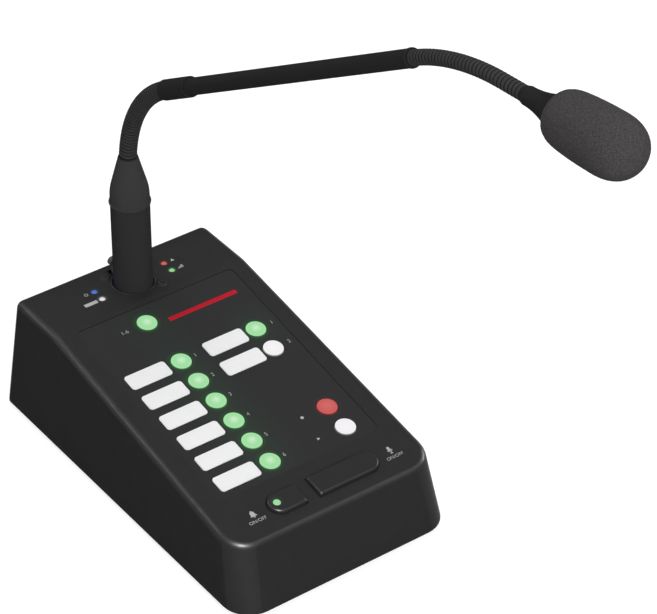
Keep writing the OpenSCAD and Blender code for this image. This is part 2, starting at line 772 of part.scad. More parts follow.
// A point on the latch spring's line, after a number of steps
function spring_point(i) = let(a = i * 360 / spring_steps, r = (spring_d - spring_wire) / 2)
    [r * cos(a), r * sin(a), spring_wire / 2 + spring_rise * i / (spring_turns * spring_steps)];

// The coil between the latch and its seat
module latch_spring() {
    steps = spring_turns * spring_steps;
    points = [for (i = [0:steps]) let(a = i * 360 / spring_steps, p = spring_point(i))
        for (j = [0:spring_sides - 1]) let(b = (j + 0.5) * 360 / spring_sides)
        p + spring_wire / 2 * [cos(a) * cos(b), sin(a) * cos(b), sin(b)]];
    walls = [for (i = [0:steps - 1]) for (j = [0:spring_sides - 1])
        let(a = i * spring_sides + j, b = i * spring_sides + (j + 1) % spring_sides)
        each [[a, a + spring_sides, b], [b, a + spring_sides, b + spring_sides]]];
    last = steps * spring_sides;
    ends = [for (j = [1:spring_sides - 2]) each [[0, j, j + 1], [last, last + j + 1, last + j]]];
    gaps = [for (i = [0:steps - spring_steps]) norm(spring_point(i + spring_steps) - spring_point(i))];
    echo(latch_spring_least_gap = min(gaps) - spring_wire);
    color("silver") translate([0, latch_y, latch_seat_z + latch_seat_t])
        polyhedron(points, concat(walls, ends));
}

module socket_screws() {
    color("dimgray") for (p = socket_screw_spots) translate([p[0], socket_y + p[1], shelf_z]) difference() {
        union() {
            cylinder(d1 = socket_head_d, d2 = socket_head_d - 1, h = socket_head_h);
            translate([0, 0, -wall - socket_flange_t - 1])
                cylinder(d = screw_d, h = wall + socket_flange_t + 1 + past / 2);
        }
        translate([0, 0, socket_head_h]) rotate([180, 0, 0]) cross_recess(socket_head_d, socket_cross_depth);
    }
}

module main_board() {
    color("darkgreen") difference() {
        translate([-main_board_half, main_board_back - main_board_d, main_board_z])
            cube([2 * main_board_half, main_board_d, board_t]);
        for (p = main_post_spots) translate([p[0], p[1], main_board_z - past])
            cylinder(d = small_screw_d + 2 * seat_gap, h = board_t + 2 * past);
    }
}

// The link socket in the back wall
module link_socket() {
    mouth_z = main_board_top + link_floor;
    color("dimgray") difference() {
        translate([-link_w / 2, link_face_y - link_l, main_board_top]) cube([link_w, link_l, link_h]);
        translate([-link_mouth_w / 2, link_face_y - link_mouth_l, mouth_z])
            cube([link_mouth_w, link_mouth_l + past, link_mouth_h]);
        translate([-link_key_w / 2, link_face_y - link_mouth_l, mouth_z - link_key_h])
            cube([link_key_w, link_mouth_l + past, link_key_h + past]);
    }
}

module small_screw() {
    translate([0, 0, -small_head_h]) cylinder(d = small_head_d, h = small_head_h);
    cylinder(d = small_screw_d, h = small_screw_l - 1);
}

module board_screws() {
    color("silver") {
        for (p = key_post_spots) deck(p, board_w - board_t) small_screw();
        for (x = [-1, 1]) translate([x * light_post_x, socket_y, light_board_z - board_t]) small_screw();
        for (p = main_post_spots) translate([p[0], p[1], main_board_top]) rotate([180, 0, 0]) small_screw();
    }
}

// The gooseneck's plug
module plug_barrel() {
    color(metal_black) translate([0, socket_y, barrel_bottom]) difference() {
        cylinder(d = barrel_d, h = boot_z - barrel_bottom);
        translate([0, 0, -past])
            cylinder(d = barrel_bore_d, h = plug_insert_z + plug_insert_h - barrel_bottom + past);
        translate([0, 0, -past]) cylinder(d = barrel_neck_d, h = boot_z - barrel_bottom + 2 * past);
    }
}

module plug_insert() {
    color("black") difference() {
        translate([0, socket_y, plug_insert_z])
            cylinder(d = barrel_bore_d - 2 * seat_gap, h = plug_insert_h);
        at_pins() translate([0, 0, plug_insert_z - past])
            cylinder(d = pin_d + 2 * seat_gap, h = plug_insert_h + 2 * past);
    }
}

module plug_pins() {
    pin_top = plug_insert_z + plug_insert_h;
    color("gold") at_pins() {
        translate([0, 0, pin_bottom]) cylinder(d = pin_d, h = pin_top - pin_bottom + pin_head_h);
        translate([0, 0, pin_top]) cylinder(d = pin_head_d, h = pin_head_h);
    }
}

// The tapered boot between the plug and the neck
module neck_boot() {
    r = barrel_d / 2;
    taper = atan((r - mouth_d / 2) / (boot_h - boot_straight));
    bend = boot_shoulder_r * tan(taper / 2);
    bead_r = (bead_d - barrel_d) / 2;
    shoulder = [for (a = [0:taper / 4:taper])
        [r - boot_shoulder_r * (1 - cos(a)), boot_straight - bend + boot_shoulder_r * sin(a)]];
    bead = [for (a = [-90:30:90]) [r + bead_r * cos(a), bead_r + bead_r * sin(a)]];
    lip = 0.5;
    plug_r = barrel_neck_d / 2 - seat_gap;
    wire_r = sleeve_bore_d / 2 - 1;
    outline = concat([[plug_r - boot_wall, -boot_plug_l], [plug_r, -boot_plug_l], [plug_r, 0]],
        bead, shoulder,
        [[mouth_d / 2, boot_h - lip], [mouth_d / 2 - lip, boot_h],
        [wire_r, boot_h], [wire_r, boot_h - spigot_l - 2], [plug_r - boot_wall, boot_straight]]);
    color(metal_black) difference() {
        translate([0, socket_y, boot_z]) rotate_extrude() polygon(outline);
        neck_at(lower_at(-spigot_l - move_gap)) cylinder(d = sleeve_bore_d, h = spigot_l + 2 * past);
    }
}

// Points of a ring around the gooseneck's line
function ring(place, r) = [for (i = [0:hose_sides - 1]) let(a = (i + 0.5) * 360 / hose_sides,
    n = [0, cos(place[2]), sin(place[2])])
    [r * cos(a), place[0], place[1]] + r * sin(a) * n];

// A ribbed hose along a line, with its bore and a plain straight spigot at each end
module ribbed_hose(at, l, d, bore, spigot, spigot_d, tilt) {
    ribs = floor(l / rib_pitch);
    crest = d / 2 / cos(180 / hose_sides);
    groove = crest - rib_depth;
    spigot_r = spigot_d / 2;
    start = move_gap + crest * sin(tilt);
    end = l - move_gap;
    pitch = (end - start) / ribs;
    outer = concat([[-spigot, spigot_r], [start, spigot_r], [start, groove]],
        [for (i = [1:ribs]) each [[start + (i - 0.5) * pitch, crest], [start + i * pitch, groove]]],
        [[end, spigot_r], [l + spigot, spigot_r]]);
    bores = floor(ribs / 3);
    inner = concat([[l + spigot, bore / 2]], [for (i = [bores:-1:0]) [i * l / bores, bore / 2]],
        [[-spigot, bore / 2]]);
    rings = concat(outer, inner);
    count = len(rings);
    points = [for (k = rings) each ring(at(k[0]), k[1])];
    faces = [for (i = [0:count - 1]) for (j = [0:hose_sides - 1])
        let(a = i * hose_sides + j, b = i * hose_sides + (j + 1) % hose_sides,
            c = ((i + 1) % count) * hose_sides + j,
            e = ((i + 1) % count) * hose_sides + (j + 1) % hose_sides)
        each [[a, c, b], [b, c, e]]];
    polyhedron(points, faces);
}

module lower_flex() {
    color(metal_black)
        ribbed_hose(lower_at, lower_flex_l, lower_flex_d, lower_bore_d, spigot_l, lower_spigot_d,
            boot_lean);
}

// The sleeve that joins the lower flexible section to the tube
module arm_sleeve() {
    lip = 0.4;
    outer = sleeve_d / 2;
    rounded_end = [for (a = [0:30:90])
        [outer - lip + lip * cos(a), sleeve_l - lip + lip * sin(a)]];
    color(metal_black) neck_at(lower_at(lower_flex_l)) difference() {
        rotate_extrude() polygon(concat([[0, 0], [outer - lip, 0], [outer, lip]], rounded_end,
            [[0, sleeve_l]]));
        translate([0, 0, -past]) cylinder(d = sleeve_bore_d, h = spigot_l + move_gap + past);
        translate([0, 0, spigot_l]) cylinder(d = lower_bore_d, h = sleeve_l);
        translate([0, 0, sleeve_l - tube_overlap]) cylinder(d = tube_d + 2 * seat_gap, h = sleeve_l);
    }
}

module arm_tube() {
    l = arm_l - sleeve_l + tube_overlap;
    r = tube_d / 2;
    lip = 0.25;
    color(metal_black) neck_at(lower_at(lower_flex_l + sleeve_l - tube_overlap)) difference() {
        rotate_extrude() polygon([[0, 0], [r, 0], [r, l - lip_w], [r + lip, l - lip_w + lip],
            [r + lip, l - lip], [r, l], [0, l]]);
        translate([0, 0, -past]) cylinder(d = tube_bore_d, h = l + 2 * past);
    }
}

module upper_flex() {
    color(metal_black)
        ribbed_hose(upper_at, upper_flex_l, upper_flex_d, upper_bore_d, upper_spigot_l, upper_spigot_d, 0);
}

// The flared boot behind the microphone's housing
module head_boot() {
    a = flare_start_d / 2;
    b = flare_end_d / 2;
    flare = [for (i = [0:6]) let(f = i / 6) [a + (b - a) * f * f, lip_w + (flare_l - lip_w) * f]];
    color(rubber_black) neck_at(upper_at(upper_flex_l)) difference() {
        rotate_extrude() polygon(concat([[0, 0], [a - 0.5, 0]], flare, [[0, flare_l]]));
        translate([0, 0, -past])
            cylinder(d = upper_spigot_d + 2 * move_gap, h = upper_spigot_l + move_gap + past);
        translate([0, 0, upper_spigot_l]) cylinder(d = upper_bore_d, h = flare_l);
    }
}

// The microphone's housing under the foam, with sound slots near its front
module mic_capsule() {
    color(metal_black) neck_at(upper_at(upper_flex_l + flare_l)) difference() {
        cylinder(d = capsule_d, h = capsule_l);
        translate([0, 0, capsule_wall])
            cylinder(d = capsule_d - 2 * capsule_wall, h = capsule_l - 2 * capsule_wall);
        for (i = [0:grille_slots - 1]) rotate([0, 0, i * 360 / grille_slots])
            translate([0, -grille_slot_w / 2, capsule_l - grille_slot_l - 3])
                cube([capsule_d, grille_slot_w, grille_slot_l]);
    }
}

// The foam windscreen that slips over the housing: widest past its middle, with a blunt nose
module foam_windscreen() {
    r = foam_d / 2;
    back_r = r * foam_back_share;
    belly = foam_l * foam_belly;
    nose = foam_l - belly;
    back_edge = [for (a = [-90:22.5:0])
        [back_r + foam_back_round * (cos(a) - 1), foam_back_round * (1 + sin(a))]];
    back_half = [for (a = [15:15:90]) [back_r + (r - back_r) * sin(a),
        foam_back_round + (belly - foam_back_round) * (1 - cos(a))]];
    front_half = [for (u = [0.2, 0.35, 0.5, 0.62, 0.73, 0.82, 0.89, 0.94, 0.975])
        [r * pow(1 - pow(u, foam_nose_power), 1 / foam_nose_power), belly + nose * u]];
    outline = concat([[0, 0]], back_edge, back_half, front_half, [[0, foam_l]]);
    color("#444244") neck_at(upper_at(upper_flex_l + flare_l + foam_setback)) difference() {
        rotate_extrude() polygon(outline);
        translate([0, 0, -past])
            cylinder(d = foam_bore_d, h = capsule_l - foam_setback + past);
    }
}

top_cover();
base_plate();
rubber_feet();
base_screws();
overlay_panel();
label_plate(0);  // zone_label_1
label_plate(1);  // zone_label_2
label_plate(2);  // zone_label_3
label_plate(3);  // zone_label_4
label_plate(4);  // zone_label_5
label_plate(5);  // zone_label_6
label_plate(zone_count);  // message_label_1
label_plate(zone_count + 1);  // message_label_2
button_at(all_zones_spot, lit_green);  // all_zones_button
button_at(zone_spots[0], lit_green);  // zone_button_1
button_at(zone_spots[1], lit_green);  // zone_button_2
button_at(zone_spots[2], lit_green);  // zone_button_3
button_at(zone_spots[3], lit_green);  // zone_button_4
button_at(zone_spots[4], lit_green);  // zone_button_5
button_at(zone_spots[5], lit_green);  // zone_button_6
button_at(message_spots[0], lit_green);  // message_button_1
button_at(message_spots[1], lit_white);  // message_button_2
button_at(record_spot, lit_red);  // record_button
button_at(play_spot, lit_white);  // play_button
chime_key();
chime_light();
talk_key();
key_board();
key_switches();
key_lamps();
lamp(0, "royalblue");  // power_light
lamp(1, "white");  // ready_light
lamp(2, "salmon");  // clip_light
lamp(3, "lightgreen");  // signal_light
light_board();
socket_shell();
socket_insert();
socket_contacts();
socket_latch();
latch_spring();
socket_screws();
main_board();
link_socket();
board_screws();
plug_barrel();
plug_insert();
plug_pins();
neck_boot();
lower_flex();
arm_sleeve();
arm_tube();
upper_flex();
head_boot();
mic_capsule();
foam_windscreen();
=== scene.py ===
"""Looks of a desk microphone for paging zones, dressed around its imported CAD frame.

Lengths are in metres, and a name that ends in _MM or _mm is in millimetres.
"""
import json
import math

import bmesh
import bpy
from mathutils import Matrix, Vector, noise


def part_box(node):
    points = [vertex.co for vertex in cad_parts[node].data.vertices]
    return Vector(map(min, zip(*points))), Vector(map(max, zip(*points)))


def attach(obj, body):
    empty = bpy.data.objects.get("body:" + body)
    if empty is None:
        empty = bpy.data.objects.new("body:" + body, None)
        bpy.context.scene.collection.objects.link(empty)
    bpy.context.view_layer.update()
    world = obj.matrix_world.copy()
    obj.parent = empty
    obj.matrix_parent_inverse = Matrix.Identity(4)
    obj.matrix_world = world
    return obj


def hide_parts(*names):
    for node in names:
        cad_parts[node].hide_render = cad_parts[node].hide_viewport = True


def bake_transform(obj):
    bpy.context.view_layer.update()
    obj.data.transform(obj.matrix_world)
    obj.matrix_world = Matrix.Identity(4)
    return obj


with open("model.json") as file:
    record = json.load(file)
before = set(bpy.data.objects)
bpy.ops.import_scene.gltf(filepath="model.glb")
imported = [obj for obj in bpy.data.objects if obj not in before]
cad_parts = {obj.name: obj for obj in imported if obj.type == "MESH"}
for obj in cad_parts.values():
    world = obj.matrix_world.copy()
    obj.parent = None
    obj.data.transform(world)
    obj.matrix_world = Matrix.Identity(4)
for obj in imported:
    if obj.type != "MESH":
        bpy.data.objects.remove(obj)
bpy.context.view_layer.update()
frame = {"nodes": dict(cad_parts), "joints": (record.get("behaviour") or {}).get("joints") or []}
nodes = frame["nodes"]
MM = 0.001

# Camera, solved from the base's outline in the photo's frame of 657 by 614 pixels
PHOTO_WIDTH_PX = 657
FOCAL_PX = 3039.5
SENSOR_MM = 36
CLIP_START = 0.01
CAMERA_AT = Vector((-0.67115, -1.00001, 0.99413))
CAMERA_AZIMUTH = math.radians(-36.401)
CAMERA_RISE = math.radians(36.674)
CAMERA_ROLL = math.radians(0.268)


def place_camera():
    back = Vector((math.sin(CAMERA_AZIMUTH) * math.cos(CAMERA_RISE),
                   -math.cos(CAMERA_AZIMUTH) * math.cos(CAMERA_RISE), math.sin(CAMERA_RISE)))
    level = Vector((math.cos(CAMERA_AZIMUTH), math.sin(CAMERA_AZIMUTH), 0))
    upright = back.cross(level)
    right = level * math.cos(CAMERA_ROLL) + upright * math.sin(CAMERA_ROLL)
    up = upright * math.cos(CAMERA_ROLL) - level * math.sin(CAMERA_ROLL)
    data = bpy.data.cameras.new("photo_camera")
    data.sensor_fit = "HORIZONTAL"
    data.sensor_width = SENSOR_MM
    data.lens = FOCAL_PX * SENSOR_MM / PHOTO_WIDTH_PX
    data.clip_start = CLIP_START
    camera = bpy.data.objects.new("photo_camera", data)
    turn = Matrix((right, up, back)).transposed().to_4x4()
    camera.matrix_world = Matrix.Translation(CAMERA_AT) @ turn
    bpy.context.scene.collection.objects.link(camera)
    bpy.context.scene.camera = camera


place_camera()

# Places on the object, taken from the frame
press_axis = next(Vector(j["axis"]) for j in frame["joints"] if j["name"] == "talk_press")
DECK_NORMAL = -press_axis.normalized()
ACROSS = Vector((1, 0, 0))
UP_DECK = DECK_NORMAL.cross(ACROSS)
CROWN_DEPTH = 0.05 * MM


def middle(name):
    low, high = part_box(name)
    return (low + high) / 2


def top_along(name, direction):
    return max(direction.dot(v.co) for v in nodes[name].data.vertices)


def crown_of(name):
    """The middle of a button's highest part."""
    lowest = top_along(name, DECK_NORMAL) - CROWN_DEPTH
    crown = [v.co for v in nodes[name].data.vertices if DECK_NORMAL.dot(v.co) > lowest]
    return sum(crown, Vector()) / len(crown)


DECK_TOP = top_along("top_cover", DECK_NORMAL)
PANEL_TOP = top_along("overlay_panel", DECK_NORMAL)
SHELF_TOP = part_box("top_cover")[1].z
ZONE_BUTTONS = [f"zone_button_{i}" for i in range(1, 7)]
GREEN_BUTTONS = ["all_zones_button", *ZONE_BUTTONS, "message_button_1"]
LABELS = [f"zone_label_{i}" for i in range(1, 7)] + ["message_label_1", "message_label_2"]
FRONT_KEYS = ("chime_key", "talk_key")
BUTTON_R = 5.35 * MM

# Gooseneck and head, as in the part's source
BOOT_LEAN = math.radians(6)
LOWER_BEND_R = 77 * MM
ARM_HEADING = math.radians(59)
ARM_L = 224 * MM
UPPER_BEND_R = 135 * MM
UPPER_STRAIGHT = 14.2 * MM
HEAD_HEADING = math.radians(85.5)
LOWER_HOSE_D = 9.3 * MM
UPPER_HOSE_D = 7.2 * MM
RIB_PITCH = 2.3 * MM
RIB_DEPTH = 0.45 * MM
FLARE_L = 16 * MM
FOAM_SETBACK = 5.5 * MM
FOAM_R = 13.85 * MM
FOAM_L = 46.8 * MM
FOAM_BORE_R = 6.65 * MM
FOAM_BORE_L = 34.5 * MM


# Materials

# The stage is white on every side and would veil black finishes, so these are matt. Only the edges that
# hands have polished keep a trace of gloss, and lamps that show in gloss alone draw their shine
MATT = 0.0
EDGE_GLOSS = 0.015
PATCH_STOPS = (0.3, 0.7)


def linear(hex_colour):
    """An sRGB hex colour as linear RGBA."""
    parts = [int(hex_colour[i:i + 2], 16) / 255 for i in (1, 3, 5)]
    return [c / 12.92 if c <= 0.04045 else ((c + 0.055) / 1.055) ** 2.4 for c in parts] + [1]


def add(tree, kind, inputs=None, **settings):
    """Adds a node with its settings; an input is given a value, or is linked to a socket."""
    made = tree.nodes.new("ShaderNode" + kind)
    for name, value in settings.items():
        setattr(made, name, value)
    for name, value in (inputs or {}).items():
        if isinstance(value, bpy.types.NodeSocket):
            tree.links.new(value, made.inputs[name])
        else:
            made.inputs[name].default_value = value
    return made


def finish(name, colour, roughness, ior=1.5, **inputs):
    """A new material, its node tree and its shader; what is the same all over is set on the shader."""
    material = bpy.data.materials.new(name)
    material.use_nodes = True
    tree = material.node_tree
    shader = tree.nodes["Principled BSDF"]
    shader.inputs["Base Color"].default_value = linear(colour)
    shader.inputs["Roughness"].default_value = roughness
    shader.inputs["IOR"].default_value = ior
    for key, value in inputs.items():
        shader.inputs[key.replace("_", " ")].default_value = value
    return material, tree, shader


def grain(tree, shader, pitch_mm, roughness, depth_mm=0.0):
    """Lumps about pitch_mm apart: duller where they are high, and raised by up to depth_mm."""
    place = add(tree, "TexCoord").outputs["Object"]
    lumps = add(tree, "TexNoise", {"Vector": place, "Scale": 1 / (pitch_mm * MM)}).outputs["Fac"]
    low, high = PATCH_STOPS
    dull = add(tree, "MapRange", {"Value": lumps, "From Min": low, "From Max": high,
                                  "To Min": roughness[0], "To Max": roughness[1]})
    tree.links.new(dull.outputs["Result"], shader.inputs["Roughness"])
    if depth_mm:
        raised = add(tree, "Bump", {"Height": lumps, "Distance": depth_mm * MM})
        tree.links.new(raised.outputs["Normal"], shader.inputs["Normal"])


def mottle(tree, shader, pitch_mm, dark, pale):
    """Patches about pitch_mm apart, between two hex colours."""
    place = add(tree, "TexCoord").outputs["Object"]
    patches = add(tree, "TexNoise", {"Vector": place, "Scale": 1 / (pitch_mm * MM), "Detail": 4.0})
    shades = add(tree, "ValToRGB", {"Fac": patches.outputs["Fac"]})
    for stop, position, colour in zip(shades.color_ramp.elements, PATCH_STOPS, (dark, pale)):
        stop.position = position
        stop.color = linear(colour)
    tree.links.new(shades.outputs["Color"], shader.inputs["Base Color"])


def light_spill(tree, shader, sources):
    """Light that lit pieces throw on the surface near them: (place, hex colour, near, far, strength)."""
    place = add(tree, "TexCoord").outputs["Object"]
    total = None
    for spot, colour, near, far, strength in sources:
        away = add(tree, "VectorMath", {0: place, 1: spot}, operation="DISTANCE").outputs["Value"]
        fall = add(tree, "MapRange", {"Value": away, "From Min": near, "From Max": far,
                                      "To Min": 1, "To Max": 0}, interpolation_type="SMOOTHSTEP")
        lit = [c * strength for c in linear(colour)[:3]]
        shade = add(tree, "VectorMath", {0: lit, "Scale": fall.outputs["Result"]}, operation="SCALE")
        total = shade if total is None else add(
            tree, "VectorMath", {0: total.outputs[0], 1: shade.outputs[0]}, operation="ADD")
    tree.links.new(total.outputs[0], shader.inputs["Emission Color"])
    shader.inputs["Emission Strength"].default_value = 1


# Lights of the object, and how far each one's light reaches over the surface beside it
LIT_GREEN = "#28e048"
LIT_RED = "#e03434"
LIT_BLUE = "#4a7ae8"
LIT_WHITE = "#f4f2f2"
HALO_START = 0.9
BUTTON_HALO_R = BUTTON_R + 3 * MM
BUTTON_GLOW_R = BUTTON_R + 17 * MM
GREEN_HALO = 0.05
GREEN_GLOW = 0.008
RED_HALO = 0.025
BUTTON_SPILL = [(middle(n), LIT_GREEN, BUTTON_R * HALO_START, BUTTON_HALO_R, GREEN_HALO)
                for n in GREEN_BUTTONS]
BUTTON_SPILL += [(middle(n), LIT_GREEN, BUTTON_R, BUTTON_GLOW_R, GREEN_GLOW) for n in GREEN_BUTTONS]
BUTTON_SPILL += [(middle("record_button"), LIT_RED, BUTTON_R * HALO_START, BUTTON_HALO_R, RED_HALO)]

STATUS_LIGHTS = {"power_light": LIT_BLUE, "ready_light": LIT_WHITE,
                 "clip_light": LIT_RED, "signal_light": LIT_GREEN}
LAMP_R = 1.6 * MM
# How far past the lens, and how strong
LAMP_REACHES = ((0.6 * MM, 0.3), (2 * MM, 0.03))
LAMP_SPILL = [(Vector((middle(n).x, middle(n).y, SHELF_TOP)), colour,
               LAMP_R * HALO_START, LAMP_R + reach, strength)
              for n, colour in STATUS_LIGHTS.items() for reach, strength in LAMP_REACHES]

CHIME_TOP = middle("chime_light") + DECK_NORMAL * 3 * MM
CHIME_SPILL = [(CHIME_TOP, LIT_GREEN, 2 * MM, 4 * MM, 0.03)]
BARREL_GLOW_AT = middle("power_light") + Vector((2, -5, 11)) * MM
BARREL_SPILL = [(BARREL_GLOW_AT, LIT_BLUE, 6 * MM, 11 * MM, 0.05)]


def moulded_abs(name, gloss):
    """Black ABS from a spark-eroded tool: a dark, even grain, drawn 0.6 mm wide so that it shows."""
    material, tree, shader = finish(name, "#2e2e2e", roughness=0.38, ior=1.53, Specular_IOR_Level=gloss)
    grain(tree, shader, pitch_mm=0.6, roughness=(0.34, 0.42), depth_mm=0.008)
    mottle(tree, shader, pitch_mm=9, dark="#2d2d2d", pale="#2f2f2f")
    light_spill(tree, shader, LAMP_SPILL)
    return material


def panel_film():
    """Polycarbonate overlay film with a matt emboss: flatter and a shade lighter than the moulding."""
    material, tree, shader = finish("panel_film", "#303031", roughness=0.5, ior=1.58,
                                    Specular_IOR_Level=MATT)
    grain(tree, shader, pitch_mm=0.5, roughness=(0.46, 0.56), depth_mm=0.004)
    light_spill(tree, shader, BUTTON_SPILL)
    return material


def key_abs(name, gloss):
    """The front keys' ABS: the same moulding polished a little by fingers, with the chime light's glow."""
    material, tree, shader = finish(name, "#2e2e2f", roughness=0.36, ior=1.53, Specular_IOR_Level=gloss)
    grain(tree, shader, pitch_mm=0.6, roughness=(0.32, 0.4), depth_mm=0.005)
    light_spill(tree, shader, CHIME_SPILL)
    return material


def label_film():
    """White polyester label under a clear matt film: flat and even."""
    material, tree, shader = finish("label_film", "#dededf", roughness=0.45, ior=1.58,
                                    Specular_IOR_Level=MATT)
    grain(tree, shader, pitch_mm=0.6, roughness=(0.42, 0.48))
    return material


def lit_silicone(name, core, half, rim, edge, glow, base):
    """Frosted silicone over a lamp: brightest above the lamp, deeper towards the rim, dim at its edge."""
    material, tree, shader = finish(name, base, roughness=0.42, ior=1.41, Specular_IOR_Level=MATT)
    low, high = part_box("all_zones_button")
    size = (high - low) / BUTTON_R
    crown = (crown_of("all_zones_button") - low) / BUTTON_R
    place = add(tree, "TexCoord").outputs["Generated"]
    place = add(tree, "VectorMath", {0: place, 1: size}, operation="MULTIPLY").outputs[0]
    place = add(tree, "VectorMath", {0: place, 1: crown}, operation="SUBTRACT").outputs[0]
    off_axis = add(tree, "VectorMath", {0: place, 1: DECK_NORMAL}, operation="CROSS_PRODUCT").outputs[0]
    away = add(tree, "VectorMath", {0: off_axis}, operation="LENGTH").outputs["Value"]
    shade = add(tree, "ValToRGB", {"Fac": away})
    shades = ((0, core), (0.6, half), (0.97, rim), (1, edge))
    for position, _ in shades[1:-1]:
        shade.color_ramp.elements.new(position)
    for stop, (position, colour) in zip(shade.color_ramp.elements, shades):
        stop.position = position
        stop.color = linear(colour)
    tree.links.new(shade.outputs["Color"], shader.inputs["Emission Color"])
    shader.inputs["Emission Strength"].default_value = glow
    grain(tree, shader, pitch_mm=0.5, roughness=(0.38, 0.48))
    return material


def lamp_lens(name, colour, base):
    """Diffused epoxy lens of a 3 mm light, lit from inside: its own light hides the room's."""
    material, tree, shader = finish(name, base, roughness=0.3, ior=1.52, Specular_IOR_Level=MATT,
                                    Emission_Strength=0.9)
    shader.inputs["Emission Color"].default_value = linear(colour)
    grain(tree, shader, pitch_mm=0.5, roughness=(0.26, 0.34))
    return material


def moulded_rubber():
    """Moulded black rubber: dull, a little paler where it has bloomed."""
    material, tree, shader = finish("moulded_rubber", "#2a2a2a", roughness=0.6, ior=1.52,
                                    Specular_IOR_Level=MATT)
    grain(tree, shader, pitch_mm=0.5, roughness=(0.55, 0.65), depth_mm=0.004)
    mottle(tree, shader, pitch_mm=1.5, dark="#282828", pale="#2c2c2c")
    return material


def boot_nylon():
    """Black nylon of the neck boot, blasted to an even satin: a shade paler than the barrel below it."""
    material, tree, shader = finish("boot_nylon", "#3c3c3c", roughness=0.48, ior=1.53,
                                    Specular_IOR_Level=MATT)
    grain(tree, shader, pitch_mm=0.6, roughness=(0.44, 0.52), depth_mm=0.004)
    return material


def powder_coat(name, colour, spill):
    """Black powder coat on metal: a dull skin with a faint orange-peel ripple about 0.8 mm wide."""
    material, tree, shader = finish(name, colour, roughness=0.42, ior=1.5, Specular_IOR_Level=MATT)
    grain(tree, shader, pitch_mm=0.8, roughness=(0.38, 0.46), depth_mm=0.005)
    if spill:
        light_spill(tree, shader, spill)
    return material


def hose_coat(name, colour, pale):
    """Black-coated steel hose: a dull trace of dust on the ribs; the grooves' darker copy is painted shade,
    black down in the grooves.
    """
    material, tree, shader = finish(name, colour, roughness=0.55, ior=1.5, Specular_IOR_Level=MATT)
    grain(tree, shader, pitch_mm=0.6, roughness=(0.5, 0.6))
    mottle(tree, shader, pitch_mm=1.2, dark=colour, pale=pale)
    return material


def windscreen_foam():
    """Open-cell polyurethane foam: struts about 0.6 mm apart, a little paler than the cells between."""
    material, tree, shader = finish("windscreen_foam", "#434142", roughness=0.95, ior=1.45,
                                    Specular_IOR_Level=MATT)
    mottle(tree, shader, pitch_mm=0.6, dark="#373536", pale="#4f4d4e")
    grain(tree, shader, pitch_mm=0.6, roughness=(0.9, 1.0), depth_mm=0.12)
    return material


def zinc_plate():
    """Zinc-plated steel of screws and springs: a soft grey shine."""
    material, tree, shader = finish("zinc_plate", "#b9bbbd", roughness=0.3, Metallic=1.0)
    grain(tree, shader, pitch_mm=0.5, roughness=(0.24, 0.38))
    return material


def black_oxide():
    """Black-oxide steel of the socket's screws: about as dark as the moulding, and dull."""
    material, tree, shader = finish("black_oxide", "#383838", roughness=0.5, ior=1.5,
                                    Specular_IOR_Level=MATT)
    grain(tree, shader, pitch_mm=0.5, roughness=(0.45, 0.55))
    return material


def shell_lacquer():
    """Dark grey lacquer on the socket's die-cast shell: its rim shows paler than the moulding around it."""
    material, tree, shader = finish("shell_lacquer", "#4a4a4c", roughness=0.45, ior=1.5,
                                    Specular_IOR_Level=MATT)
    grain(tree, shader, pitch_mm=0.7, roughness=(0.4, 0.5))
    return material


def grey_nylon():
    """Grey glass-filled nylon of the release tab: matt."""
    material, tree, shader = finish("grey_nylon", "#565657", roughness=0.5, ior=1.53,
                                    Specular_IOR_Level=MATT)
    grain(tree, shader, pitch_mm=0.5, roughness=(0.45, 0.56))
    return material


def gold_plate():
    """Thin gold over nickel on contacts and pins: a warm, soft shine."""
    material, tree, shader = finish("gold_plate", "#d8b25a", roughness=0.28, Metallic=1.0)
    grain(tree, shader, pitch_mm=0.5, roughness=(0.22, 0.34))
    return material


def circuit_board():
    """Green solder mask: glossy lacquer, a shade lighter where 1 mm copper tracks lie under it."""
    material, tree, shader = finish("circuit_board", "#1d5a34", roughness=0.3, ior=1.55,
                                    Specular_IOR_Level=0.1)
    place = add(tree, "TexCoord").outputs["Object"]
    tracks = add(tree, "TexBrick", {"Vector": place, "Scale": 1.0, "Mortar Size": 0.5 * MM,
                                    "Brick Width": 14 * MM, "Row Height": 3 * MM,
                                    "Color1": linear("#17502c"), "Color2": linear("#1a5630"),
                                    "Mortar": linear("#2d7a48")})
    tree.links.new(tracks.outputs["Color"], shader.inputs["Base Color"])
    grain(tree, shader, pitch_mm=0.8, roughness=(0.24, 0.36))
    return material


def black_nylon():
    """Glass-filled nylon of switches, sockets and inserts: matt, with faint fibre specks."""
    material, tree, shader = finish("black_nylon", "#343435", roughness=0.55, ior=1.53,
                                    Specular_IOR_Level=MATT)
    mottle(tree, shader, pitch_mm=0.5, dark="#2e2e2f", pale="#3a3a3b")
    grain(tree, shader, pitch_mm=0.5, roughness=(0.48, 0.62))
    return material


def ivory_lamp():
    """Ivory ceramic body of the small lamps on the key board: smooth, with faint warm patches."""
    material, tree, shader = finish("ivory_lamp", "#e8e0c8", roughness=0.4, ior=1.52,
                                    Specular_IOR_Level=0.1)
    mottle(tree, shader, pitch_mm=0.5, dark="#e2d9be", pale="#eee7d2")
    return material


def screen_ink(name, colour, thin_colour):
    """Screen-printed ink: matt, with the faint unevenness of the mesh that it was pushed through."""
    material, tree, shader = finish(name, colour, roughness=0.55, ior=1.5, Specular_IOR_Level=MATT)
    mottle(tree, shader, pitch_mm=0.5, dark=thin_colour, pale=colour)
    return material


